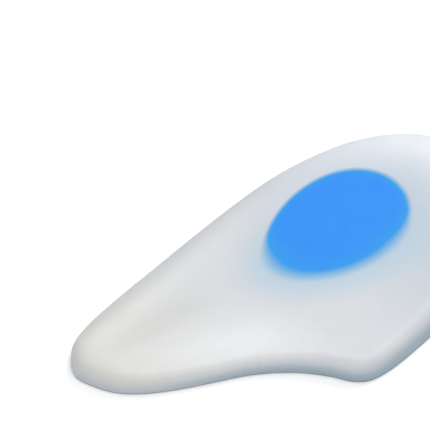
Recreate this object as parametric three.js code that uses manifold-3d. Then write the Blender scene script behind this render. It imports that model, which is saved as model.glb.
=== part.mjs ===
// Silicone heel wedge: a translucent moulded wedge that lies sole side up, with a softer blue
// spot let into its sole and a navy fabric cover let into its foot side.
// Millimetres. +Z is up, +X points to the back of the heel and -X to the long front lobe.
// The origin is at the middle of the bounding box, on the surface that the rim rests on.

import * as THREE from 'three';
import { mergeVertices } from 'three/addons/utils/BufferGeometryUtils.js';
import Module from 'manifold-3d';

// Overall sizes of the wedge
const LENGTH = 113;
const WIDTH = 59;
const HEEL_THICKNESS = 10;
const FRONT_THICKNESS = 5.9;

// Length over which the level front of the sole turns into its rising part
const FLAT_BLEND = 0.8;

// Outer wall and the rolled edge between the wall and the sole
const WALL_HEIGHT = 5;
const BEVEL_WIDTH = 11;
const RIM_ROUND = 0.5;

// Rim on the foot side that frames the cover
const RIM_WIDTH = 1.2;
const COVER_THICKNESS = 1;
const COVER_SETBACK = 0.3;
const CLEARANCE = 0.3;

// Hollow of the foot side under the heel
const DISH_DEPTH = 2;
const DISH_LENGTH = 84;
const DISH_WIDTH = 46;

// Shallow valley of the sole beside the long edge of the front lobe
const VALLEY_DEPTH = 0.7;
const VALLEY_LENGTH = 54;
const VALLEY_WIDTH = 13;

// Softer spot in the sole under the heel bone
const SPOT_LENGTH = 38;
const SPOT_WIDTH = 27;
const SPOT_DEPTH = 3;
const SPOT_TAPER = 0.12;

// Places, as shares of half the length and half the width
const RISE_START = -0.32;
const RISE_END = 0.8;
const DISH_PLACE = { along: 0.25, across: 0 };
const VALLEY_PLACE = { along: -0.6, across: 0.42 };
const SPOT_PLACE = { along: 0.264, across: 0.241 };
const FAN_PLACE = { along: 0.18, across: 0.06 };

// Fineness of the faceted surfaces
const POINTS_AROUND = 96;
const SPOT_POINTS = 48;
const ROLL_STEPS = [0.03, 0.12, 0.28, 0.5, 0.75, 1];
const FIELD_STEPS = [0.07, 0.16, 0.28, 0.42, 0.58, 0.76];

// Plan outline, counter-clockwise from the back of the heel. along and across are shares of half
// the length and half the width; wall and bevel are shares of WALL_HEIGHT and BEVEL_WIDTH.
const OUTLINE = [
  { along: 1.0, across: -0.1, wall: 0.98, bevel: 0.95 },
  { along: 0.984, across: 0.235, wall: 0.95, bevel: 1.0 },
  { along: 0.918, across: 0.52, wall: 0.92, bevel: 1.0 },
  { along: 0.796, across: 0.743, wall: 0.88, bevel: 0.98 },
  { along: 0.644, across: 0.892, wall: 0.84, bevel: 0.9 },
  { along: 0.463, across: 0.972, wall: 0.8, bevel: 0.78 },
  { along: 0.249, across: 1.0, wall: 0.75, bevel: 0.66 },
  { along: 0.036, across: 0.972, wall: 0.7, bevel: 0.58 },
  { along: -0.214, across: 0.907, wall: 0.64, bevel: 0.52 },
  { along: -0.463, across: 0.828, wall: 0.6, bevel: 0.5 },
  { along: -0.676, across: 0.759, wall: 0.58, bevel: 0.48 },
  { along: -0.841, across: 0.684, wall: 0.56, bevel: 0.45 },
  { along: -0.945, across: 0.592, wall: 0.54, bevel: 0.42 },
  { along: -1.0, across: 0.413, wall: 0.52, bevel: 0.4 },
  { along: -0.969, across: 0.242, wall: 0.52, bevel: 0.37 },
  { along: -0.899, across: 0.055, wall: 0.54, bevel: 0.33 },
  { along: -0.774, across: -0.107, wall: 0.56, bevel: 0.29 },
  { along: -0.605, across: -0.252, wall: 0.58, bevel: 0.26 },
  { along: -0.445, across: -0.372, wall: 0.6, bevel: 0.25 },
  { along: -0.32, across: -0.503, wall: 0.62, bevel: 0.25 },
  { along: -0.222, across: -0.648, wall: 0.64, bevel: 0.25 },
  { along: -0.153, across: -0.786, wall: 0.66, bevel: 0.25 },
  { along: -0.096, across: -0.924, wall: 0.68, bevel: 0.25 },
  { along: -0.021, across: -1.0, wall: 0.72, bevel: 0.26 },
  { along: 0.107, across: -0.997, wall: 0.8, bevel: 0.28 },
  { along: 0.285, across: -0.938, wall: 0.9, bevel: 0.34 },
  { along: 0.498, across: -0.848, wall: 1.0, bevel: 0.44 },
  { along: 0.712, across: -0.724, wall: 1.04, bevel: 0.58 },
  { along: 0.872, across: -0.559, wall: 1.04, bevel: 0.73 },
  { along: 0.968, across: -0.345, wall: 1.0, bevel: 0.86 },
];

const wasm = await Module();
wasm.setup();

const HALF_LENGTH = LENGTH / 2;
const HALF_WIDTH = WIDTH / 2;
const COVER_FLOOR = COVER_SETBACK + COVER_THICKNESS + CLEARANCE;

// A place given by shares of the half sizes, in millimetres.
function placeOf({ along, across }) {
  return new THREE.Vector2(along * HALF_LENGTH, across * HALF_WIDTH);
}

// Samples the outline as points with an outward normal, a wall height and a bevel width.
function sampleOutline() {
  const plan = new THREE.CatmullRomCurve3(
    OUTLINE.map((row) => new THREE.Vector3(row.along, row.across, 0)), true, 'catmullrom');
  const edge = new THREE.CatmullRomCurve3(
    OUTLINE.map((row) => new THREE.Vector3(row.wall, row.bevel, 0)), true, 'catmullrom');
  const shares = [];
  for (let i = 0; i < POINTS_AROUND; i += 1) {
    shares.push(plan.getPoint(i / POINTS_AROUND));
  }
  const box = new THREE.Box3().setFromPoints(shares);
  const middle = box.getCenter(new THREE.Vector3());
  const size = box.getSize(new THREE.Vector3());
  const points = shares.map((share) => new THREE.Vector2(
    ((share.x - middle.x) / size.x) * LENGTH,
    ((share.y - middle.y) / size.y) * WIDTH));
  return points.map((point, i) => {
    const after = points[(i + 1) % POINTS_AROUND];
    const before = points[(i + POINTS_AROUND - 1) % POINTS_AROUND];
    const run = after.clone().sub(before).normalize();
    const sizes = edge.getPoint(i / POINTS_AROUND);
    return {
      point,
      normal: new THREE.Vector2(run.y, -run.x),
      wall: sizes.x * WALL_HEIGHT,
      bevel: sizes.y * BEVEL_WIDTH,
    };
  });
}

// A soft bump that is 1 at its place and 0 from its rim outwards.
function bump(x, y, place, length, width) {
  const centre = placeOf(place);
  const reach = ((x - centre.x) / (length / 2)) ** 2 + ((y - centre.y) / (width / 2)) ** 2;
  return reach < 1 ? (1 - reach) ** 2 : 0;
}

// Slope of the flat part of the sole, which rises from the front to the heel.
const SOLE_SLOPE = (HEEL_THICKNESS - FRONT_THICKNESS) / ((RISE_END - RISE_START) * HALF_LENGTH);

// Height of the plane that the flat part of the sole lies on.
function solePlane(x) {
  return FRONT_THICKNESS + SOLE_SLOPE * (x - RISE_START * HALF_LENGTH);
}

// Height of the sole away from the rolled edge: level in front, then the plane, with a soft join.
function soleHeight(x, y) {
  const rise = solePlane(x);
  const apart = Math.abs(rise - FRONT_THICKNESS);
  const join = Math.max(FLAT_BLEND - apart, 0) ** 2 / (4 * FLAT_BLEND);
  const valley = VALLEY_DEPTH * bump(x, y, VALLEY_PLACE, VALLEY_LENGTH, VALLEY_WIDTH);
  return Math.max(rise, FRONT_THICKNESS) + join - valley;
}

// Height of the hollow in the foot side, measured from the flat rim.
function dishHeight(x, y) {
  return DISH_DEPTH * bump(x, y, DISH_PLACE, DISH_LENGTH, DISH_WIDTH);
}

// A ring of vertices, a fixed way inside the outline, with its height from a function.
function insetRing(outline, insetOf, heightOf) {
  return outline.map((station) => {
    const inset = insetOf(station);
    const x = station.point.x - station.normal.x * inset;
    const y = station.point.y - station.normal.y * inset;
    return new THREE.Vector3(x, y, heightOf(x, y, station));
  });
}

// Rings that close in from a given ring on the fan's centre.
function fieldRings(ring, heightOf) {
  const centre = placeOf(FAN_PLACE);
  return FIELD_STEPS.map((share) => ring.map((vertex) => {
    const x = THREE.MathUtils.lerp(vertex.x, centre.x, share);
    const y = THREE.MathUtils.lerp(vertex.y, centre.y, share);
    return new THREE.Vector3(x, y, heightOf(x, y));
  }));
}

// The last vertex of a field, at the fan's centre.
function fieldCentre(heightOf) {
  const centre = placeOf(FAN_PLACE);
  return new THREE.Vector3(centre.x, centre.y, heightOf(centre.x, centre.y));
}

// A closed surface from a first vertex, rings in order and a last vertex.
function skin(first, rings, last) {
  const count = rings[0].length;
  const vertices = [first, ...rings.flat(), last];
  const index = [];
  for (let i = 0; i < count; i += 1) {
    const next = (i + 1) % count;
    index.push(0, 1 + next, 1 + i);
    for (let r = 0; r < rings.length - 1; r += 1) {
      const low = 1 + r * count;
      const high = low + count;
      index.push(low + i, low + next, high + next, low + i, high + next, high + i);
    }
    const top = 1 + (rings.length - 1) * count;
    index.push(top + i, top + next, vertices.length - 1);
  }
  const geometry = new THREE.BufferGeometry().setFromPoints(vertices);
  geometry.setIndex(index);
  return geometry;
}

// A closed geometry as a solid that can be cut.
function solidOf(geometry) {
  const bare = new THREE.BufferGeometry();
  bare.setAttribute('position', geometry.getAttribute('position'));
  bare.setIndex(geometry.getIndex());
  const merged = mergeVertices(bare);
  return new wasm.Manifold(new wasm.Mesh({
    numProp: 3,
    vertProperties: new Float32Array(merged.getAttribute('position').array),
    triVerts: new Uint32Array(merged.getIndex().array),
  }));
}

// A cut solid back as a geometry with flat facets.
function geometryOf(solid) {
  const mesh = solid.getMesh();
  const geometry = new THREE.BufferGeometry();
  geometry.setAttribute('position', new THREE.BufferAttribute(mesh.vertProperties, 3));
  geometry.setIndex(new THREE.BufferAttribute(mesh.triVerts, 1));
  return geometry;
}

// The egg-shaped spot, blunt end to the heel, grown sideways by a margin and held between two
// heights over the sole's plane.
function spotGeometry(margin, below, above) {
  const centre = placeOf(SPOT_PLACE);
  const ring = [];
  for (let i = 0; i < SPOT_POINTS; i += 1) {
    const angle = (i / SPOT_POINTS) * Math.PI * 2;
    const along = (SPOT_LENGTH / 2 + margin) * Math.cos(angle);
    const girth = 1 + SPOT_TAPER * Math.cos(angle);
    const across = (SPOT_WIDTH / 2 + margin) * Math.sin(angle) * girth;
    ring.push(new THREE.Vector2(along, across).add(centre));
  }
  const level = (offset) => ring.map(
    (point) => new THREE.Vector3(point.x, point.y, solePlane(point.x) + offset));
  const lowest = new THREE.Vector3(centre.x, centre.y, solePlane(centre.x) - below);
  const highest = new THREE.Vector3(centre.x, centre.y, solePlane(centre.x) + above);
  return skin(lowest, [level(-below), level(above)], highest);
}

// The moulded wedge: foot side, rim, wall, rolled edge and sole, with the pocket for the spot.
function bodyGeometry(outline) {
  const floor = (x, y) => COVER_FLOOR + dishHeight(x, y);
  const recess = insetRing(outline, () => RIM_WIDTH, floor);
  const footRings = [...fieldRings(recess, floor).reverse(), recess];
  const rimRings = [
    insetRing(outline, () => RIM_WIDTH, () => 0),
    insetRing(outline, () => RIM_ROUND, () => 0),
    insetRing(outline, () => 0, () => RIM_ROUND),
    insetRing(outline, () => 0, (x, y, station) => station.wall),
  ];
  const rollRings = ROLL_STEPS.map((share) => insetRing(
    outline,
    (station) => share * station.bevel,
    (x, y, station) => {
      const lift = Math.sqrt(1 - (1 - share) ** 2);
      return THREE.MathUtils.lerp(station.wall, soleHeight(x, y), lift);
    }));
  const crest = rollRings[rollRings.length - 1];
  const soleRings = fieldRings(crest, soleHeight);
  const rings = [...footRings, ...rimRings, ...rollRings, ...soleRings];
  const whole = skin(fieldCentre(floor), rings, fieldCentre(soleHeight));
  const pocket = spotGeometry(CLEARANCE, SPOT_DEPTH + CLEARANCE, SPOT_DEPTH);
  return geometryOf(solidOf(whole).subtract(solidOf(pocket)));
}

// The fabric cover, a thin sheet that follows the dish inside the rim.
function coverGeometry(outline) {
  const lower = (x, y) => COVER_SETBACK + dishHeight(x, y);
  const upper = (x, y) => lower(x, y) + COVER_THICKNESS;
  const inset = () => RIM_WIDTH + CLEARANCE;
  const lowerEdge = insetRing(outline, inset, lower);
  const upperEdge = insetRing(outline, inset, upper);
  const lowerRings = [...fieldRings(lowerEdge, lower).reverse(), lowerEdge];
  const rings = [...lowerRings, upperEdge, ...fieldRings(upperEdge, upper)];
  return skin(fieldCentre(lower), rings, fieldCentre(upper));
}

// A named mesh with its own material.
function piece(name, geometry, look) {
  const shown = geometry.toNonIndexed();
  shown.computeVertexNormals();
  const mesh = new THREE.Mesh(shown, new THREE.MeshStandardMaterial(look));
  mesh.name = name;
  return mesh;
}

const SILICONE_LOOK = { color: 0xd9dddc, roughness: 0.42, metalness: 0 };
const SPOT_LOOK = { color: 0x4496fa, roughness: 0.45, metalness: 0 };
const COVER_LOOK = { color: 0x27295a, roughness: 0.9, metalness: 0 };

const outline = sampleOutline();
const group = new THREE.Group();
group.add(piece('silicone_body', bodyGeometry(outline), SILICONE_LOOK));
group.add(piece('soft_spot', spotGeometry(0, SPOT_DEPTH, 0), SPOT_LOOK));
group.add(piece('fabric_cover', coverGeometry(outline), COVER_LOOK));

export default group;
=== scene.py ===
"""Silicone heel wedge, lying sole side up on a pale floor.

The moulded wedge, its softer blue spot and its navy knit cover are each pulled ring by ring
from a disc in edit mode, smoothed by subdivision and dressed with procedural finishes.
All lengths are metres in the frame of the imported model: +X to the back of the heel, +Z up.
"""

from __future__ import annotations

import logging
import math
from dataclasses import dataclass, field
from enum import Enum
from typing import Mapping, NamedTuple, Sequence

import bmesh
import bpy
import numpy as np
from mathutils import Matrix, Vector

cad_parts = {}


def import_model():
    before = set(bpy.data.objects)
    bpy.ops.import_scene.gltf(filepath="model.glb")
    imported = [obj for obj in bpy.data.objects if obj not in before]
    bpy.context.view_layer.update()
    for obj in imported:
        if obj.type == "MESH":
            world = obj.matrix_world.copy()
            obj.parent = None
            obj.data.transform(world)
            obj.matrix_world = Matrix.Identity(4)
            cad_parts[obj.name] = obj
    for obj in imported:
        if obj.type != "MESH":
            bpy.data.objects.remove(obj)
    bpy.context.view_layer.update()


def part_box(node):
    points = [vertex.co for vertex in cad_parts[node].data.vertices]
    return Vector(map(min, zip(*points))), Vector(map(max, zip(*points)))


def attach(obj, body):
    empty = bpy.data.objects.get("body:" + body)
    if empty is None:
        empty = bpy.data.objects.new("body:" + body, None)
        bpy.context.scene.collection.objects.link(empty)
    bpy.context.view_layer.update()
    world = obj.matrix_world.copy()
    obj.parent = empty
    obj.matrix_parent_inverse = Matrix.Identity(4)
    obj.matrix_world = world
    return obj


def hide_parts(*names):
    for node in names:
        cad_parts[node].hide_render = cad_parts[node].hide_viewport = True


LOG = logging.getLogger("heel_wedge")
MM = 0.001
BODY = "root"


class Slot(Enum):
    """The record's material slots."""

    SILICONE = "silicone"
    SOFT_SILICONE = "soft_silicone"
    COVER = "cover_fabric"


class OutlineRow(NamedTuple):
    """One row of the plan outline, as shares of half the length, half the width, wall and bevel."""

    along: float
    across: float
    wall: float
    bevel: float


# Counter-clockwise from the back of the heel
OUTLINE = (
    OutlineRow(1.0, -0.1, 0.98, 0.95),
    OutlineRow(0.984, 0.235, 0.95, 1.0),
    OutlineRow(0.918, 0.52, 0.92, 1.0),
    OutlineRow(0.796, 0.743, 0.88, 0.98),
    OutlineRow(0.644, 0.892, 0.84, 0.9),
    OutlineRow(0.463, 0.972, 0.8, 0.78),
    OutlineRow(0.249, 1.0, 0.75, 0.66),
    OutlineRow(0.036, 0.972, 0.7, 0.58),
    OutlineRow(-0.214, 0.907, 0.64, 0.52),
    OutlineRow(-0.463, 0.828, 0.6, 0.5),
    OutlineRow(-0.676, 0.759, 0.58, 0.48),
    OutlineRow(-0.841, 0.684, 0.56, 0.45),
    OutlineRow(-0.945, 0.592, 0.54, 0.42),
    OutlineRow(-1.0, 0.413, 0.52, 0.4),
    OutlineRow(-0.969, 0.242, 0.52, 0.37),
    OutlineRow(-0.899, 0.055, 0.54, 0.33),
    OutlineRow(-0.774, -0.107, 0.56, 0.29),
    OutlineRow(-0.605, -0.252, 0.58, 0.26),
    OutlineRow(-0.445, -0.372, 0.6, 0.25),
    OutlineRow(-0.32, -0.503, 0.62, 0.25),
    OutlineRow(-0.222, -0.648, 0.64, 0.25),
    OutlineRow(-0.153, -0.786, 0.66, 0.25),
    OutlineRow(-0.096, -0.924, 0.68, 0.25),
    OutlineRow(-0.021, -1.0, 0.72, 0.26),
    OutlineRow(0.107, -0.997, 0.8, 0.28),
    OutlineRow(0.285, -0.938, 0.9, 0.34),
    OutlineRow(0.498, -0.848, 1.0, 0.44),
    OutlineRow(0.712, -0.724, 1.04, 0.58),
    OutlineRow(0.872, -0.559, 1.04, 0.73),
    OutlineRow(0.968, -0.345, 1.0, 0.86),
)


class EdgeBand(NamedTuple):
    """A soft band beside the outline that paints a highlight on the silicone, or painted shade where its
    amount is below 0.
    """

    side: float
    inset: float
    reach: float
    start: float
    peak: float
    end: float
    painted_light_shift: float


# side is 1 for the long edge and -1 for the front edge; the places along X and the
# distances inside the edge are shares of half the length
EDGE_BANDS = (
    # Painted highlight on the swell of the lobe beside the front edge
    EdgeBand(side=-1, inset=0.1, reach=0.12, start=-1.2, peak=-0.36, end=-0.02, painted_light_shift=0.45),
    # Painted highlight on the low bead that runs beside the long edge, and painted shade on the bevel outside
    # it, which faces away from the light
    EdgeBand(side=1, inset=0.11, reach=0.05, start=-1.0, peak=-0.55, end=0.1, painted_light_shift=0.2),
    EdgeBand(side=1, inset=0.0, reach=0.09, start=-1.1, peak=-0.3, end=0.4, painted_light_shift=-0.35),
    # Painted highlight on the heel rim, which faces the key light
    EdgeBand(side=1, inset=0.02, reach=0.25, start=-0.1, peak=0.8, end=1.6, painted_light_shift=0.8),
)


def deselect_all() -> None:
    """Leaves no object selected or in edit mode."""
    if bpy.context.object and bpy.context.object.mode != "OBJECT":
        bpy.ops.object.mode_set(mode="OBJECT")
    bpy.ops.object.select_all(action="DESELECT")


def make_active(piece: bpy.types.Object) -> None:
    """Selects one object alone and makes it the active one.

    Args:
        piece: The object to work on.
    """
    deselect_all()
    piece.select_set(True)
    bpy.context.view_layer.objects.active = piece


def apply_modifier(piece: bpy.types.Object, kind: str, **settings: object) -> None:
    """Adds a modifier with its settings and applies it to the mesh.

    Args:
        piece: The object to change.
        kind: Blender's name for the modifier's type.
        **settings: Values for the modifier.
    """
    make_active(piece)
    modifier = piece.modifiers.new(kind.title(), kind)
    for name, value in settings.items():
        setattr(modifier, name, value)
    bpy.ops.object.modifier_apply(modifier=modifier.name)


def merge_doubles(piece: bpy.types.Object, apart: float = 2e-6) -> None:
    """Merges the vertices that lie closer together than a distance.

    Args:
        piece: The object to clean.
        apart: The distance.
    """
    make_active(piece)
    bpy.ops.object.mode_set(mode="EDIT")
    bpy.ops.mesh.select_all(action="SELECT")
    bpy.ops.mesh.remove_doubles(threshold=apart)
    bpy.ops.object.mode_set(mode="OBJECT")


def closed_spline(rows: np.ndarray, count: int) -> np.ndarray:
    """Samples a closed Catmull-Rom spline, evenly between its rows.

    Args:
        rows: The spline's points, one a row.
        count: How many samples to take round the whole loop.

    Returns:
        The samples, one a row.
    """
    place = np.arange(count) * len(rows) / count
    low = np.floor(place).astype(int)
    t = (place - low)[:, None]
    p0, p1, p2, p3 = (rows[(low + step) % len(rows)] for step in (-1, 0, 1, 2))
    return 0.5 * (
        2 * p1
        + (p2 - p0) * t
        + (2 * p0 - 5 * p1 + 4 * p2 - p3) * t**2
        + (3 * p1 - p0 - 3 * p2 + p3) * t**3
    )


def smooth_step(share: np.ndarray) -> np.ndarray:
    """Eases shares from 0 to 1.

    Args:
        share: The values to ease.

    Returns:
        0 below 0, 1 above 1, and an even curve between them.
    """
    held = np.clip(share, 0, 1)
    return held * held * (3 - 2 * held)


@dataclass
class WedgeForm:
    """The wedge's sizes, and the surfaces that its pieces share."""

    length: float
    width: float
    heel_thickness: float = 10 * MM
    front_thickness: float = 5.9 * MM
    wall_height: float = 5 * MM
    bevel_width: float = 11 * MM
    dish_depth: float = 2 * MM
    dish_length: float = 84 * MM
    dish_width: float = 46 * MM
    dish_place: tuple[float, float] = (0.25, 0.0)
    valley_depth: float = 0.7 * MM
    valley_length: float = 54 * MM
    valley_width: float = 13 * MM
    valley_place: tuple[float, float] = (-0.6, 0.42)
    rise_start: float = -0.32
    rise_end: float = 0.8
    flat_blend: float = 0.8 * MM
    fan_place: tuple[float, float] = (0.18, 0.06)
    stations: int = 96
    points: np.ndarray = field(init=False)
    normals: np.ndarray = field(init=False)
    walls: np.ndarray = field(init=False)
    bevels: np.ndarray = field(init=False)

    def __post_init__(self) -> None:
        """Samples the outline once, fitted to the frame's length and width."""
        rows = np.array(OUTLINE)
        samples = closed_spline(rows, self.stations)
        plan = samples[:, :2]
        low, high = plan.min(0), plan.max(0)
        self.points = (plan - (low + high) / 2) / (high - low) * (self.length, self.width)
        run = np.roll(self.points, -1, 0) - np.roll(self.points, 1, 0)
        run /= np.linalg.norm(run, axis=1)[:, None]
        self.normals = np.stack([run[:, 1], -run[:, 0]], 1)
        self.walls = samples[:, 2] * self.wall_height
        self.bevels = samples[:, 3] * self.bevel_width

    def place(self, shares: tuple[float, float]) -> np.ndarray:
        """Finds a plan point.

        Args:
            shares: Its shares of half the length and half the width.

        Returns:
            The point.
        """
        return np.array([shares[0] * self.length / 2, shares[1] * self.width / 2])

    def inset(self, distance: np.ndarray | float) -> np.ndarray:
        """Moves the outline inwards.

        Args:
            distance: How far, the same all round or one value a station.

        Returns:
            The moved points, one a row.
        """
        return self.points - self.normals * np.broadcast_to(distance, self.stations)[:, None]

    def inside(self, x: np.ndarray, y: np.ndarray, side: float) -> np.ndarray:
        """Measures how far inside one side of the outline each place lies.

        Args:
            x: Plan positions along the wedge.
            y: Plan positions across it.
            side: 1 for the long edge and -1 for the front edge.

        Returns:
            The distance to that side.
        """
        edge = self.points[side * self.normals[:, 1] > 0]
        return np.hypot(x[:, None] - edge[:, 0], y[:, None] - edge[:, 1]).min(1)

    def painted_light_and_shade(self, x: np.ndarray, y: np.ndarray) -> np.ndarray:
        """Adds up the soft bands of painted highlight and painted shade beside the outline.

        Args:
            x: Plan positions along the wedge.
            y: Plan positions across it.

        Returns:
            0 where the silicone has its plain colour, up to 1 for a painted highlight and down to -1 for
            painted shade.
        """
        half = self.length / 2
        total = np.zeros(len(x))
        for band in EDGE_BANDS:
            rise = smooth_step((x / half - band.start) / (band.peak - band.start))
            fall = smooth_step((band.end - x / half) / (band.end - band.peak))
            away = (self.inside(x, y, band.side) / half - band.inset) / band.reach
            total += band.painted_light_shift * rise * fall * np.exp(-(away**2))
        return np.clip(total, -1, 1)

    def towards_centre(self, ring: np.ndarray, share: float) -> np.ndarray:
        """Moves a plan ring towards the fan's centre.

        Args:
            ring: The ring's points, one a row.
            share: The share of the way.

        Returns:
            The moved ring.
        """
        return ring + (self.place(self.fan_place) - ring) * share

    def bump(
        self, x: np.ndarray, y: np.ndarray, place: tuple[float, float], length: float, width: float
    ) -> np.ndarray:
        """Shapes a soft bump.

        Args:
            x: Plan positions along the wedge.
            y: Plan positions across it.
            place: The bump's middle, as shares of the half sizes.
            length: Its whole reach along X.
            width: Its whole reach along Y.

        Returns:
            1 at its middle, falling to 0 at its reach.
        """
        middle = self.place(place)
        reach = ((x - middle[0]) / (length / 2)) ** 2 + ((y - middle[1]) / (width / 2)) ** 2
        return np.clip(1 - reach, 0, None) ** 2

    def sole_plane(self, x: np.ndarray | float) -> np.ndarray | float:
        """Works out the plane that the flat of the sole lies on.

        Args:
            x: Plan positions along the wedge.

        Returns:
            Its heights there.
        """
        rise = self.heel_thickness - self.front_thickness
        run = (self.rise_end - self.rise_start) * self.length / 2
        return self.front_thickness + rise / run * (x - self.rise_start * self.length / 2)

    def sole_height(self, x: np.ndarray, y: np.ndarray) -> np.ndarray:
        """Works out the sole: level in front, then the plane, less the valley.

        Args:
            x: Plan positions along the wedge.
            y: Plan positions across it.

        Returns:
            Its heights there.
        """
        rise = self.sole_plane(x)
        apart = np.abs(rise - self.front_thickness)
        join = np.clip(self.flat_blend - apart, 0, None) ** 2 / (4 * self.flat_blend)
        valley = self.bump(x, y, self.valley_place, self.valley_length, self.valley_width)
        return np.maximum(rise, self.front_thickness) + join - self.valley_depth * valley

    def dish_height(self, x: np.ndarray, y: np.ndarray) -> np.ndarray:
        """Works out the foot side's hollow.

        Args:
            x: Plan positions along the wedge.
            y: Plan positions across it.

        Returns:
            Its heights over the flat rim.
        """
        dish = self.bump(x, y, self.dish_place, self.dish_length, self.dish_width)
        return self.dish_depth * dish


class RingLoft:
    """A closed skin that is pulled ring by ring out of a disc, in edit mode."""

    STATION = "station"

    def __init__(self, name: str, first: np.ndarray, pole: Sequence[float]) -> None:
        """Starts the skin as a filled disc.

        Args:
            name: The object's name.
            first: The disc's rim, one point a row.
            pole: The disc's middle.
        """
        deselect_all()
        bpy.ops.mesh.primitive_circle_add(
            vertices=len(first), radius=1, fill_type="TRIFAN", location=(0, 0, 0)
        )
        self.piece = bpy.context.object
        self.piece.name = self.piece.data.name = name
        bpy.ops.object.mode_set(mode="EDIT")
        bpy.ops.mesh.select_mode(type="EDGE")
        bpy.ops.mesh.select_all(action="DESELECT")
        mesh = bmesh.from_edit_mesh(self.piece.data)
        # An extrusion hands each vertex's station on to its copy
        station = mesh.verts.layers.int.new(self.STATION)
        middle = max(mesh.verts, key=lambda v: len(v.link_edges))
        rim = [v for v in mesh.verts if v is not middle]
        rim.sort(key=lambda v: math.atan2(v.co.y, v.co.x) % math.tau)
        for i, vertex in enumerate(rim):
            vertex[station] = i
            vertex.co = first[i]
        middle.co = pole
        for edge in mesh.edges:
            if edge.is_boundary:
                edge.select_set(True)
        bmesh.update_edit_mesh(self.piece.data)

    def pull(self, ring: np.ndarray) -> None:
        """Extrudes the open edge to a new ring.

        Args:
            ring: The new ring's points, one a row, in the outline's order.
        """
        bpy.ops.mesh.extrude_region_move()
        mesh = bmesh.from_edit_mesh(self.piece.data)
        station = mesh.verts.layers.int[self.STATION]
        for vertex in mesh.verts:
            if vertex.select:
                vertex.co = ring[vertex[station]]
        bmesh.update_edit_mesh(self.piece.data)

    def close(self, pole: Sequence[float]) -> bpy.types.Object:
        """Closes the skin on a last point and turns its faces outwards.

        Args:
            pole: The last point.

        Returns:
            The finished object, in object mode.
        """
        bpy.ops.mesh.extrude_region_move()
        bpy.ops.mesh.select_mode(type="VERT")
        bpy.ops.mesh.merge(type="CENTER")
        mesh = bmesh.from_edit_mesh(self.piece.data)
        next(v for v in mesh.verts if v.select).co = pole
        mesh.verts.layers.int.remove(mesh.verts.layers.int[self.STATION])
        bmesh.update_edit_mesh(self.piece.data)
        bpy.ops.mesh.select_all(action="SELECT")
        bpy.ops.mesh.normals_make_consistent(inside=False)
        bpy.ops.object.mode_set(mode="OBJECT")
        return self.piece


def raised(plan: np.ndarray, heights: np.ndarray | float) -> np.ndarray:
    """Lifts plan points into space.

    Args:
        plan: The plan points, one a row.
        heights: Their heights, or one for all.

    Returns:
        The points in space, one a row.
    """
    return np.column_stack([plan, np.broadcast_to(heights, len(plan))])


def loft_through(
    name: str, rings: Sequence[np.ndarray], low: Sequence[float], high: Sequence[float]
) -> bpy.types.Object:
    """Pulls a closed skin through rings.

    Args:
        name: The object's name.
        rings: The rings in order, one array of points each.
        low: The pole before the first ring.
        high: The pole after the last ring.

    Returns:
        The closed object.
    """
    loft = RingLoft(name, rings[0], low)
    for ring in rings[1:]:
        loft.pull(ring)
    return loft.close(high)


def linear(code: str) -> tuple[float, float, float, float]:
    """Turns an sRGB hex colour to linear light.

    Args:
        code: Six hex digits after a hash sign.

    Returns:
        Red, green and blue from 0 to 1, and an alpha of 1.
    """
    shares = [int(code[i : i + 2], 16) / 255 for i in (1, 3, 5)]
    light = [s / 12.92 if s <= 0.04045 else ((s + 0.055) / 1.055) ** 2.4 for s in shares]
    return (*light, 1.0)


def add_node(
    tree: bpy.types.NodeTree,
    kind: str,
    settings: Mapping[str, object] | None = None,
    inputs: Mapping[str | int, object] | None = None,
) -> bpy.types.Node:
    """Adds a node with its settings, values and links.

    Args:
        tree: The node tree.
        kind: Blender's name for the node's type.
        settings: Values for the node itself.
        inputs: A value, or the socket to link from, for each input socket.

    Returns:
        The new node.
    """
    node = tree.nodes.new(kind)
    for name, value in (settings or {}).items():
        setattr(node, name, value)
    for socket, value in (inputs or {}).items():
        if isinstance(value, bpy.types.NodeSocket):
            tree.links.new(value, node.inputs[socket])
        else:
            node.inputs[socket].default_value = value
    return node


def maths(
    tree: bpy.types.NodeTree, operation: str, *values: object, clamp: bool = False
) -> bpy.types.NodeSocket:
    """Adds a Math node.

    Args:
        tree: The node tree.
        operation: What it works out.
        *values: Its inputs in order, each a number or a socket.
        clamp: Whether the result stays from 0 to 1.

    Returns:
        Its output socket.
    """
    settings = {"operation": operation, "use_clamp": clamp}
    return add_node(tree, "ShaderNodeMath", settings, dict(enumerate(values))).outputs[0]


def eased(
    tree: bpy.types.NodeTree, value: object, low: object, high: object, first: float, last: float
) -> bpy.types.NodeSocket:
    """Adds a Map Range node with a smooth step.

    Args:
        tree: The node tree.
        value: The socket to read.
        low: Where the step starts.
        high: Where the step ends.
        first: The result up to its start.
        last: The result from its end.

    Returns:
        The output socket.
    """
    node = add_node(
        tree,
        "ShaderNodeMapRange",
        {"interpolation_type": "SMOOTHSTEP"},
        {"Value": value, "From Min": low, "From Max": high, "To Min": first, "To Max": last},
    )
    return node.outputs["Result"]


def blended(tree: bpy.types.NodeTree, share: object, first: object, second: object) -> bpy.types.NodeSocket:
    """Adds a Mix node for two colours.

    Args:
        tree: The node tree.
        share: How much of the second colour, from 0 to 1.
        first: The first colour or its socket.
        second: The second colour or its socket.

    Returns:
        The mixed colour's socket.
    """
    node = add_node(tree, "ShaderNodeMix", {"data_type": "RGBA"}, {0: share, 6: first, 7: second})
    return node.outputs[2]


def stored(tree: bpy.types.NodeTree, attribute: str) -> bpy.types.NodeSocket:
    """Reads an attribute that is stored on the mesh.

    Args:
        tree: The node tree.
        attribute: The attribute's name.

    Returns:
        The value's socket.
    """
    return add_node(tree, "ShaderNodeAttribute", {"attribute_name": attribute}).outputs["Fac"]


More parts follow.
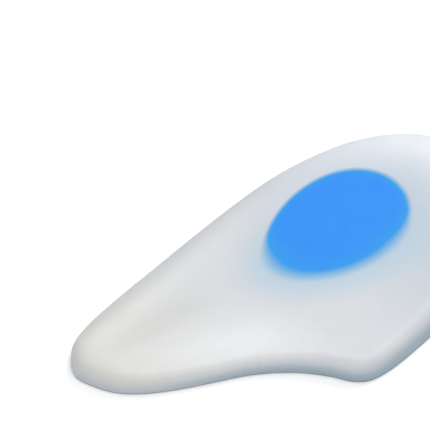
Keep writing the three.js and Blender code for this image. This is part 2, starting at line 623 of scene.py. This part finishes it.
def clouded(
    tree: bpy.types.NodeTree, place: bpy.types.NodeSocket, size: float, detail: float
) -> bpy.types.NodeSocket:
    """Adds a noise of clouds or grains.

    Args:
        tree: The node tree.
        place: The coordinates to follow.
        size: The real size of one cloud.
        detail: How many finer layers it has.

    Returns:
        The noise's socket.
    """
    inputs = {"Vector": place, "Scale": 1 / size, "Detail": detail}
    return add_node(tree, "ShaderNodeTexNoise", None, inputs).outputs["Fac"]


def new_material(name: str) -> tuple[bpy.types.Material, bpy.types.NodeTree, bpy.types.Node]:
    """Makes a material with a bare Principled shader.

    Args:
        name: The material's name.

    Returns:
        The material, its node tree and its shader node.
    """
    material = bpy.data.materials.new(name)
    material.use_nodes = True
    tree = material.node_tree
    shader = next(n for n in tree.nodes if n.type == "BSDF_PRINCIPLED")
    return material, tree, shader


@dataclass(frozen=True)
class SpotTint:
    """How far the blue dye shows, at the spot and through the silicone round it."""

    middle: tuple[float, float]
    half_length: float
    half_width: float
    taper: float
    # The dye's edge looks softer on the side of the front corner
    soft_side: tuple[float, float] = (-0.588, -0.809)
    crisp_reach: float = 0.055
    soft_reach: float = 0.17
    outward_share: float = 0.65
    halo_reach: float = 1.72
    halo_crisp: float = 0.42
    halo_soft: float = 0.95
    blue: str = "#2279CE"
    edge_blue: str = "#2182C5"
    # The grey-blue halo round the dye is bluer on the soft side
    halo: str = "#9AADBC"
    crisp_halo: str = "#9DA9B4"
    # Painted shade: where the blue thins out over the white, the mix is darkened to a grey blue
    thin_blue_shade: str = "#6E9CA4"
    thin_shade_strength: float = 0.8

    def over(self, tree: bpy.types.NodeTree, base: object) -> bpy.types.NodeSocket:
        """Lays the blue and its halo over a base colour.

        Args:
            tree: The material's node tree.
            base: The colour or socket underneath.

        Returns:
            The tinted colour's socket.
        """
        place = add_node(tree, "ShaderNodeTexCoord").outputs["Object"]
        parts = add_node(tree, "ShaderNodeSeparateXYZ", None, {0: place})
        along = maths(tree, "SUBTRACT", parts.outputs["X"], self.middle[0])
        along = maths(tree, "DIVIDE", along, self.half_length)
        held = maths(tree, "MAXIMUM", maths(tree, "MINIMUM", along, 1.0), -1.0)
        girth = maths(tree, "MULTIPLY_ADD", held, self.taper, 1.0)
        across = maths(tree, "SUBTRACT", parts.outputs["Y"], self.middle[1])
        across = maths(tree, "DIVIDE", across, self.half_width)
        across = maths(tree, "DIVIDE", across, girth)
        reach = maths(tree, "ADD", maths(tree, "POWER", along, 2.0), maths(tree, "POWER", across, 2.0))
        reach = maths(tree, "SQRT", reach)
        facing = maths(tree, "MULTIPLY", along, self.soft_side[0])
        facing = maths(tree, "MULTIPLY_ADD", across, self.soft_side[1], facing)
        facing = maths(tree, "DIVIDE", facing, maths(tree, "MAXIMUM", reach, 0.01))
        softness = eased(tree, facing, -0.15, 0.6, self.crisp_reach, self.soft_reach)
        inner = maths(tree, "SUBTRACT", 1.0, softness)
        outer = maths(tree, "MULTIPLY_ADD", softness, self.outward_share, 1.0)
        halo = eased(tree, facing, -0.6, 0.6, self.halo_crisp, self.halo_soft)
        halo = maths(tree, "MULTIPLY", halo, eased(tree, reach, 0.9, self.halo_reach, 1.0, 0.0))
        dye = eased(tree, reach, inner, outer, 1.0, 0.0)
        turned = eased(tree, facing, -0.6, 0.6, 0.0, 1.0)
        halo_colour = blended(tree, turned, linear(self.crisp_halo), linear(self.halo))
        tinted = blended(tree, halo, base, halo_colour)
        edge_from = eased(tree, facing, -0.3, 0.5, 0.85, 0.5)
        edge = eased(tree, reach, edge_from, 0.97, 0.0, 1.0)
        blue = blended(tree, edge, linear(self.blue), linear(self.edge_blue))
        tinted = blended(tree, dye, tinted, blue)
        # Painted shade along the edge of the dye
        thin_shade = maths(tree, "MULTIPLY", dye, maths(tree, "SUBTRACT", 1.0, dye))
        thin_shade = maths(tree, "MULTIPLY", thin_shade, self.thin_shade_strength)
        return blended(tree, thin_shade, tinted, linear(self.thin_blue_shade))


@dataclass(frozen=True)
class MouldedSilicone:
    """Platinum-cured silicone rubber cast in a matt mould: milky, translucent, satin."""

    name: str
    tint: SpotTint
    heel_end: float
    tip: str = "#B6B6B0"
    middle: str = "#B8B9BC"
    heel: str = "#A3ACB5"
    # Painted highlight on the swells and heel rim; painted shade, a cool grey, on the bevel facing away from
    # the light
    painted_highlight: str = "#D4D5D8"
    bevel: str = "#A4A9AF"
    # Painted shade: this blue-grey darkens the outer wall towards the floor in place of the shade it gets; the
    # navy cover showing through the thin wall gives part of its blue
    wall: str = "#8799A5"
    painted_tip_wall_shade: str = "#A6ACB4"
    # Painted light: the lip near the floor is lightened back towards the plain colour, as light comes through
    # the thin translucent lip
    painted_lip_light: float = 0.25
    # Painted shadow: a thin dark grey line where the lip meets the floor stands in for the contact shadow
    painted_contact_shadow: str = "#5E5F63"
    roughness: float = 0.42
    ior: float = 1.41
    specular: float = 0.35
    mottle_size: float = 4 * MM
    mould_grain: float = 0.35 * MM

    def material(self) -> bpy.types.Material:
        """Builds the material.

        Returns:
            A material whose colour follows the wedge's length, wall and spot, with painted highlights and
            painted shade on the sole and wall.
        """
        material, tree, shader = new_material(self.name)
        place = add_node(tree, "ShaderNodeTexCoord").outputs["Object"]
        along = add_node(tree, "ShaderNodeSeparateXYZ", None, {0: place}).outputs["X"]
        front = eased(tree, along, -self.heel_end, -0.1 * self.heel_end, 1.0, 0.0)
        back = eased(tree, along, -0.05 * self.heel_end, 0.65 * self.heel_end, 0.0, 1.0)
        colour = blended(tree, front, linear(self.middle), linear(self.tip))
        colour = blended(tree, back, colour, linear(self.heel))
        # Painted highlight where the edge bands are above 0, painted shade where they are below
        painted_light_and_shade = stored(tree, "painted_light_and_shade")
        colour = blended(tree, maths(tree, "MAXIMUM", painted_light_and_shade, 0.0), colour, linear(self.painted_highlight))
        painted_shade_share = maths(tree, "MULTIPLY", painted_light_and_shade, -1.0, clamp=True)
        colour = blended(tree, painted_shade_share, colour, linear(self.bevel))
        # Uneven curing leaves faint clouds
        clouds = clouded(tree, place, self.mottle_size, 4.0)
        shade = eased(tree, clouds, 0.35, 0.7, 0.0, 0.06)
        colour = blended(tree, shade, colour, linear(self.wall))
        colour = self.tint.over(tree, colour)
        # Painted shade: the outer wall greys and darkens towards the floor, less at the tip
        wall_share = stored(tree, "wall_share")
        wall_shade_end = eased(tree, along, -0.15 * self.heel_end, 0.15 * self.heel_end, 0.85, 0.66)
        wall = eased(tree, wall_share, 0.04, wall_shade_end, 0.0, 1.0)
        wall_shade_colour = blended(tree, front, linear(self.wall), linear(self.painted_tip_wall_shade))
        # Painted light on the lip near the floor
        painted_lip_light_mask = eased(tree, wall_share, 0.84, 0.95, 0.0, self.painted_lip_light)
        wall_shade_colour = blended(tree, painted_lip_light_mask, wall_shade_colour, linear(self.middle))
        # Painted contact shadow along the foot of the wall
        contact_shadow_share = eased(tree, wall_share, 0.9, 0.97, 0.0, 1.0)
        wall_shade_colour = blended(tree, contact_shadow_share, wall_shade_colour, linear(self.painted_contact_shadow))
        colour = blended(tree, wall, colour, wall_shade_colour)
        tree.links.new(colour, shader.inputs["Base Color"])
        grain = clouded(tree, place, self.mould_grain, 2.0)
        fine_bump = {"Strength": 0.06, "Distance": 0.1 * MM, "Height": grain}
        fine = add_node(tree, "ShaderNodeBump", None, fine_bump)
        broad = add_node(
            tree,
            "ShaderNodeBump",
            None,
            {"Strength": 0.5, "Distance": 0.1 * MM, "Height": clouds, "Normal": fine.outputs[0]},
        )
        tree.links.new(broad.outputs[0], shader.inputs["Normal"])
        rough = eased(tree, clouds, 0.3, 0.7, self.roughness - 0.05, self.roughness + 0.05)
        tree.links.new(rough, shader.inputs["Roughness"])
        shader.inputs["IOR"].default_value = self.ior
        shader.inputs["Specular IOR Level"].default_value = self.specular
        return material


@dataclass(frozen=True)
class NavyKnit:
    """Polyester warp knit, heat-bonded: fine ribs of loops with a dull, speckled face."""

    name: str = "navy_warp_knit"
    ground: str = "#121534"
    loop: str = "#1B2040"
    fleck: str = "#25214D"
    roughness: float = 0.88
    specular: float = 0.12
    sheen: float = 0.03
    wale: float = 0.5 * MM
    course: float = 0.42 * MM
    yarn_fleck: float = 0.6 * MM

    def material(self) -> bpy.types.Material:
        """Builds the material.

        Returns:
            A material with loops, flecks and a soft sheen.
        """
        material, tree, shader = new_material(self.name)
        place = add_node(tree, "ShaderNodeTexCoord").outputs["Object"]
        parts = add_node(tree, "ShaderNodeSeparateXYZ", None, {0: place})
        wales = maths(tree, "SINE", maths(tree, "MULTIPLY", parts.outputs["Y"], math.tau / self.wale))
        lean = maths(tree, "MULTIPLY", maths(tree, "ABSOLUTE", wales), 0.9)
        courses = maths(tree, "MULTIPLY_ADD", parts.outputs["X"], math.tau / self.course, lean)
        loops = maths(tree, "MULTIPLY", maths(tree, "SINE", courses), 0.5)
        height = maths(tree, "MULTIPLY_ADD", wales, 0.5, loops)
        share = eased(tree, height, -0.6, 0.9, 0.0, 1.0)
        flecks = clouded(tree, place, self.yarn_fleck, 5.0)
        colour = blended(tree, share, linear(self.ground), linear(self.loop))
        colour = blended(tree, eased(tree, flecks, 0.42, 0.62, 0.0, 0.85), colour, linear(self.fleck))
        tree.links.new(colour, shader.inputs["Base Color"])
        knit_bump = {"Strength": 0.7, "Distance": 0.12 * MM, "Height": height}
        bump = add_node(tree, "ShaderNodeBump", None, knit_bump)
        tree.links.new(bump.outputs[0], shader.inputs["Normal"])
        shader.inputs["Roughness"].default_value = self.roughness
        shader.inputs["Specular IOR Level"].default_value = self.specular
        shader.inputs["Sheen Weight"].default_value = self.sheen
        shader.inputs["Sheen Roughness"].default_value = 0.5
        return material


@dataclass(frozen=True)
class PaleFloor:
    """A matt painted table top."""

    name: str = "pale_floor"
    colour: str = "#F3F3F3"
    roughness: float = 0.9

    def material(self) -> bpy.types.Material:
        """Builds the material.

        Returns:
            A plain matt material.
        """
        material, _, shader = new_material(self.name)
        shader.inputs["Base Color"].default_value = linear(self.colour)
        shader.inputs["Roughness"].default_value = self.roughness
        shader.inputs["Specular IOR Level"].default_value = 0.2
        return material


@dataclass
class SoftSpot:
    """The softer blue insert, egg-shaped, blunt end to the heel."""

    form: WedgeForm
    length: float = 38 * MM
    width: float = 27 * MM
    depth: float = 3 * MM
    taper: float = 0.12
    shares: tuple[float, float] = (0.264, 0.241)
    sides: int = 192
    clear_of_sole: float = 2 * MM

    def middle(self) -> np.ndarray:
        """Finds the spot's middle.

        Returns:
            Its plan point.
        """
        return self.form.place(self.shares)

    def tint(self) -> SpotTint:
        """Describes how its dye shows in the silicone.

        Returns:
            The tint, placed and sized as the spot is.
        """
        x, y = (float(v) for v in self.middle())
        return SpotTint((x, y), self.length / 2, self.width / 2, self.taper)

    def cutter(self) -> bpy.types.Object:
        """Shapes the egg that parts the spot from the wedge.

        Returns:
            A closed prism from the pocket's floor to just over the sole.
        """
        angle = np.arange(self.sides) / self.sides * math.tau
        girth = 1 + self.taper * np.cos(angle)
        along = self.length / 2 * np.cos(angle)
        across = self.width / 2 * np.sin(angle) * girth
        plan = np.column_stack([along, across]) + self.middle()
        plane = self.form.sole_plane(plan[:, 0])
        middle = self.middle()
        level = self.form.sole_plane(middle[0])
        low = (*middle, level - self.depth)
        high = (*middle, level + self.clear_of_sole)
        rings = [raised(plan, plane - self.depth), raised(plan, plane + self.clear_of_sole)]
        return loft_through("spot_cutter", rings, low, high)

    def build(self, whole: bpy.types.Object, cutter: bpy.types.Object) -> bpy.types.Object:
        """Takes the spot out of the uncut wedge.

        Args:
            whole: The uncut wedge.
            cutter: The egg-shaped prism.

        Returns:
            The spot, flush with the sole.
        """
        spot = whole.copy()
        spot.data = whole.data.copy()
        spot.name = spot.data.name = "blue_soft_spot"
        bpy.context.scene.collection.objects.link(spot)
        apply_modifier(
            spot, "BOOLEAN", operation="INTERSECT", object=cutter, solver="EXACT", use_self=True
        )
        merge_doubles(spot)
        return spot


@dataclass
class SiliconeBody:
    """The moulded wedge with its rim, wall, rolled edge and sole."""

    form: WedgeForm
    rim_width: float = 1.2 * MM
    rim_round: float = 0.3 * MM
    inner_round: float = 0.1 * MM
    cover_floor: float = 1.3 * MM
    roll_steps: tuple[float, ...] = (0.03, 0.12, 0.28, 0.5, 0.75, 1.0)
    field_steps: tuple[float, ...] = (0.07, 0.16, 0.28, 0.42, 0.58, 0.76)
    levels: int = 2

    def _floor(self, plan: np.ndarray) -> np.ndarray:
        """Lays a plan ring on the recess's floor.

        Args:
            plan: The ring's plan points, one a row.

        Returns:
            The ring in space.
        """
        x, y = plan.T
        return raised(plan, self.cover_floor + self.form.dish_height(x, y))

    def _sole(self, plan: np.ndarray) -> np.ndarray:
        """Lays a plan ring on the sole.

        Args:
            plan: The ring's plan points, one a row.

        Returns:
            The ring in space.
        """
        x, y = plan.T
        return raised(plan, self.form.sole_height(x, y))

    def _rolled(self, share: float) -> np.ndarray:
        """Works out a ring of the rolled edge.

        Args:
            share: How far inwards, as a share of the bevel.

        Returns:
            The ring in space.
        """
        plan = self.form.inset(share * self.form.bevels)
        top = self.form.sole_height(*plan.T)
        lift = math.sqrt(1 - (1 - share) ** 2)
        return raised(plan, self.form.walls + (top - self.form.walls) * lift)

    def rings(self) -> list[np.ndarray]:
        """Works out the skin from the foot side's middle, round the edge, to the sole's middle.

        Returns:
            The rings in order.
        """
        form = self.form
        recess = form.inset(self.rim_width)
        foot = [self._floor(form.towards_centre(recess, s)) for s in reversed(self.field_steps)]
        rim = [
            self._floor(recess),
            raised(recess, self.inner_round),
            raised(form.inset(self.rim_width - self.inner_round), 0.0),
            raised(form.inset(self.rim_round), 0.0),
            raised(form.inset(0.3 * self.rim_round), 0.3 * self.rim_round),
            raised(form.points, self.rim_round),
            raised(form.points, 0.5 * (self.rim_round + form.walls)),
            raised(form.points, form.walls),
        ]
        roll = [self._rolled(share) for share in self.roll_steps]
        crest = form.inset(form.bevels)
        sole = [self._sole(form.towards_centre(crest, s)) for s in self.field_steps]
        return [*foot, *rim, *roll, *sole]

    def build_whole(self) -> bpy.types.Object:
        """Pulls and smooths the wedge, with no pocket yet.

        Returns:
            The closed wedge.
        """
        middle = self.form.place(self.form.fan_place)
        low = self._floor(middle[None])[0]
        high = self._sole(middle[None])[0]
        whole = loft_through("silicone_wedge", self.rings(), low, high)
        apply_modifier(
            whole, "SUBSURF", levels=self.levels, render_levels=self.levels, boundary_smooth="PRESERVE_CORNERS"
        )
        return whole

    def cut_pocket(self, whole: bpy.types.Object, cutter: bpy.types.Object) -> bpy.types.Object:
        """Cuts the spot's pocket out of the wedge.

        Args:
            whole: The uncut wedge.
            cutter: The egg-shaped prism.

        Returns:
            The same object with its pocket.
        """
        apply_modifier(
            whole, "BOOLEAN", operation="DIFFERENCE", object=cutter, solver="EXACT", use_self=True
        )
        merge_doubles(whole)
        return whole

    def mark_tones(self, piece: bpy.types.Object) -> None:
        """Stores how far down the outer wall each vertex lies, and how much painted highlight and painted
        shade it gets.

        Args:
            piece: The finished mesh, which gets the attribute wall_share and an attribute for its painted
                highlight and shade.
        """
        mesh = piece.data
        spots = np.empty(len(mesh.vertices) * 3)
        mesh.vertices.foreach_get("co", spots)
        x, y, z = spots.reshape(-1, 3).T
        top = self.form.sole_height(x, y)
        tones = {
            "wall_share": np.clip((top - z) / top, 0, 1),
            "painted_light_and_shade": self.form.painted_light_and_shade(x, y),
        }
        for name, values in tones.items():
            layer = mesh.attributes.new(name, "FLOAT", "POINT")
            layer.data.foreach_set("value", values.astype(np.float32))


@dataclass
class FabricCover:
    """The navy knit sheet that is bonded into the foot side."""

    form: WedgeForm
    edge_inset: float = 1.3 * MM
    setback: float = 0.3 * MM
    thickness: float = 1.0 * MM
    edge_round: float = 0.25 * MM
    field_steps: tuple[float, ...] = (0.07, 0.16, 0.28, 0.42, 0.58, 0.76)
    levels: int = 2

    def _laid(self, plan: np.ndarray, offset: float) -> np.ndarray:
        """Lays a plan ring on the dish.

        Args:
            plan: The ring's plan points, one a row.
            offset: Its height above the cover's lower face.

        Returns:
            The ring in space.
        """
        return raised(plan, self.setback + offset + self.form.dish_height(*plan.T))

    def build(self) -> bpy.types.Object:
        """Pulls the sheet through its rings and smooths it.

        Returns:
            The closed sheet.
        """
        form = self.form
        edge = form.inset(self.edge_inset)
        soft = form.inset(self.edge_inset + self.edge_round)
        lower = [self._laid(form.towards_centre(soft, s), 0.0) for s in reversed(self.field_steps)]
        upper = [self._laid(form.towards_centre(soft, s), self.thickness) for s in self.field_steps]
        border = [
            self._laid(soft, 0.0),
            self._laid(edge, self.edge_round),
            self._laid(edge, self.thickness - self.edge_round),
            self._laid(soft, self.thickness),
        ]
        middle = form.place(form.fan_place)
        low = self._laid(middle[None], 0.0)[0]
        high = self._laid(middle[None], self.thickness)[0]
        cover = loft_through("navy_knit_cover", [*lower, *border, *upper], low, high)
        apply_modifier(cover, "SUBSURF", levels=self.levels, render_levels=self.levels)
        return cover

    def flat_area(self) -> float:
        """Measures the cut's flat area, by the shoelace rule round its edge.

        Returns:
            The area.
        """
        x, y = self.form.inset(self.edge_inset).T
        return float(abs(np.sum(x * np.roll(y, -1) - y * np.roll(x, -1))) / 2)

    def flat_size(self) -> tuple[float, float]:
        """Measures the cut laid flat.

        Returns:
            Its width and length.
        """
        size = np.ptp(self.form.inset(self.edge_inset), axis=0)
        return float(size[1]), float(size[0])


@dataclass
class Studio:
    """The plain pale floor, the soft lights and the camera at the photograph's angle."""

    azimuth: float = math.radians(-36)
    elevation: float = math.radians(52.2)
    # Real width that the square image spans, at the wedge
    span: float = 101.456 * MM
    aim: tuple[float, float, float] = (-4.83 * MM, 28.04 * MM, 5 * MM)
    lens: float = 350.0
    floor_side: float = 3.0

    def axes(self) -> tuple[Vector, Vector, Vector]:
        """Works out the directions of the view.

        Returns:
            The image's right, the level way into it, and up.
        """
        right = Vector((math.cos(self.azimuth), math.sin(self.azimuth), 0))
        away = Vector((-math.sin(self.azimuth), math.cos(self.azimuth), 0))
        return right, away, Vector((0, 0, 1))

    def build_camera(self) -> None:
        """Aims a long lens so that the image spans the real width at the wedge."""
        data = bpy.data.cameras.new("camera")
        data.lens = self.lens
        camera = bpy.data.objects.new("camera", data)
        bpy.context.scene.collection.objects.link(camera)
        distance = self.span * self.lens / data.sensor_width
        _, away, up = self.axes()
        back = up * math.sin(self.elevation) - away * math.cos(self.elevation)
        camera.location = Vector(self.aim) + back * distance
        camera.rotation_euler = (-back).to_track_quat("-Z", "Y").to_euler()
        data.clip_start = 0.01
        data.clip_end = 20
        bpy.context.scene.camera = camera

    def add_softbox(
        self, name: str, place: Sequence[float], side: float, watts: float, colour: str
    ) -> None:
        """Adds a square area light aimed at the wedge.

        Args:
            name: The light's name.
            place: How far right, away and up it stands, seen from the camera, in metres.
            side: The length of its side.
            watts: Its power.
            colour: Its colour.
        """
        data = bpy.data.lights.new(name, "AREA")
        data.shape = "SQUARE"
        data.size = side
        data.energy = watts
        data.color = linear(colour)[:3]
        light = bpy.data.objects.new(name, data)
        bpy.context.scene.collection.objects.link(light)
        right, away, up = self.axes()
        light.location = right * place[0] + away * place[1] + up * place[2]
        light.rotation_euler = (-light.location).to_track_quat("-Z", "Y").to_euler()

    def build_lights(self) -> None:
        """Adds the softboxes and the even light of the room."""
        self.add_softbox("key_softbox", (0.5, 0.65, 0.8), 0.6, 9.0, "#FFFFFF")
        self.add_softbox("top_softbox", (0.0, -0.1, 1.2), 0.8, 7.5, "#FFFFFF")
        self.add_softbox("front_softbox", (-0.1, -0.9, 0.55), 0.8, 4.0, "#FFFFFF")
        world = bpy.data.worlds.new("room")
        world.use_nodes = True
        ground = world.node_tree.nodes["Background"]
        ground.inputs["Color"].default_value = linear("#FFFFFF")
        ground.inputs["Strength"].default_value = 0.45
        bpy.context.scene.world = world

    def build_floor(self) -> None:
        """Lays the floor that the wedge rests on."""
        deselect_all()
        bpy.ops.mesh.primitive_plane_add(size=self.floor_side, location=(0, 0, 0))
        floor = bpy.context.object
        floor.name = floor.data.name = "floor"
        floor.data.materials.append(PaleFloor().material())

    def build(self) -> None:
        """Builds the whole studio."""
        self.build_camera()
        self.build_lights()
        self.build_floor()
        bpy.context.scene.view_settings.view_transform = "Standard"


def finish_piece(piece: bpy.types.Object, material: bpy.types.Material, node: str) -> None:
    """Dresses a finished mesh and ties it to the frame.

    Args:
        piece: The finished mesh.
        material: Its finish.
        node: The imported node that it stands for.
    """
    if not piece.data.polygons:
        raise RuntimeError(f"{piece.name} came out of its cut with no faces")
    make_active(piece)
    bpy.ops.object.shade_smooth_by_angle(angle=math.radians(40))
    piece.data.materials.clear()
    piece.data.materials.append(material)
    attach(piece, BODY)
    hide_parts(node)
    LOG.info("%s: %d faces", piece.name, len(piece.data.polygons))


def main() -> None:
    """Builds the wedge round the frame, piece by piece, and then the studio."""
    logging.basicConfig(level=logging.INFO, format="%(name)s: %(message)s")
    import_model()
    low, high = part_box("silicone_body")
    form = WedgeForm(length=high.x - low.x, width=high.y - low.y)

    spot_maker = SoftSpot(form)
    body_maker = SiliconeBody(form)
    cutter = spot_maker.cutter()
    whole = body_maker.build_whole()
    spot = spot_maker.build(whole, cutter)
    body = body_maker.cut_pocket(whole, cutter)
    bpy.data.objects.remove(cutter)
    for piece in (body, spot):
        body_maker.mark_tones(piece)
    tint = spot_maker.tint()
    silicone = MouldedSilicone("milky_silicone", tint, form.length / 2)
    finish_piece(body, silicone.material(), "silicone_body")
    soft = MouldedSilicone("blue_soft_silicone", tint, form.length / 2)
    finish_piece(spot, soft.material(), "soft_spot")

    cover_maker = FabricCover(form)
    cover = cover_maker.build()
    finish_piece(cover, NavyKnit().material(), "fabric_cover")
    flat, area = cover_maker.flat_size(), cover_maker.flat_area()

    Studio().build()


if __name__ == "__main__":
    main()
